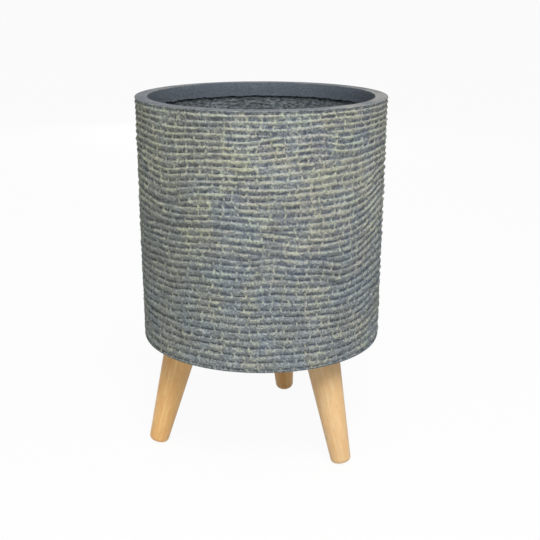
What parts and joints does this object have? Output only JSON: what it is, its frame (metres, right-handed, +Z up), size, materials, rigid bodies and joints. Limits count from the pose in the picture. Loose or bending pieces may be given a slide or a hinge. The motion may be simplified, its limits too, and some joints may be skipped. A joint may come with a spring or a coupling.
{
  "type": "planter on legs",
  "caption": "Round fibre-clay flower pot with coursed relief and a flat rim, standing on splayed turned wooden legs that screw off, with a drain plug.",
  "frame": {"origin": "on the ground, under the middle of the pot", "axes": "+Z up along the pot's axis; -Y is the front, between the two front legs; +Y points over the back leg"},
  "size_m": [0.2999, 0.3, 0.437],
  "materials": {
    "fibre_clay": "matte",
    "leg_wood": "satin",
    "bolt_steel": "satin",
    "insert_steel": "satin",
    "plug_rubber": "matte"
  },
  "bodies": {
    "pot": {"pot_body": "fibre_clay", "threaded_insert_front_left": "insert_steel", "threaded_insert_front_right": "insert_steel", "threaded_insert_back": "insert_steel"},
    "bolt_front_left": {"hanger_bolt_front_left": "bolt_steel"},
    "leg_front_left": {"leg_front_left": "leg_wood"},
    "bolt_front_right": {"hanger_bolt_front_right": "bolt_steel"},
    "leg_front_right": {"leg_front_right": "leg_wood"},
    "bolt_back": {"hanger_bolt_back": "bolt_steel"},
    "leg_back": {"leg_back": "leg_wood"},
    "plug": {"drain_plug": "plug_rubber"}
  },
  "joints": [
    {"name": "leg_front_left_travel", "type": "slide", "parent": "pot", "child": "bolt_front_left", "axis": [-0.2212, -0.1277, -0.9668], "range_m": [0, 0.01251]},
    {"name": "leg_front_left_turn", "type": "hinge", "parent": "bolt_front_left", "child": "leg_front_left", "pos_m": [-0.08695, -0.0502, 0.1406], "axis": [-0.2212, -0.1277, -0.9668], "range_deg": [0, 3600]},
    {"name": "leg_front_right_travel", "type": "slide", "parent": "pot", "child": "bolt_front_right", "axis": [0.2212, -0.1277, -0.9668], "range_m": [0, 0.01251]},
    {"name": "leg_front_right_turn", "type": "hinge", "parent": "bolt_front_right", "child": "leg_front_right", "pos_m": [0.08695, -0.0502, 0.1406], "axis": [0.2212, -0.1277, -0.9668], "range_deg": [0, 3600]},
    {"name": "leg_back_travel", "type": "slide", "parent": "pot", "child": "bolt_back", "axis": [0, 0.2554, -0.9668], "range_m": [0, 0.01251]},
    {"name": "leg_back_turn", "type": "hinge", "parent": "bolt_back", "child": "leg_back", "pos_m": [0, 0.1004, 0.1406], "axis": [0, 0.2554, -0.9668], "range_deg": [0, 3600]},
    {"name": "drain_plug_pull", "type": "slide", "parent": "pot", "child": "plug", "axis": [0, 0, -1], "range_m": [0, 0.06]}
  ],
  "couplings": [
    {"joint": "leg_front_left_travel", "follows": "leg_front_left_turn", "m_per_rad": 0.00019894},
    {"joint": "leg_front_right_travel", "follows": "leg_front_right_turn", "m_per_rad": 0.00019894},
    {"joint": "leg_back_travel", "follows": "leg_back_turn", "m_per_rad": 0.00019894}
  ]
}
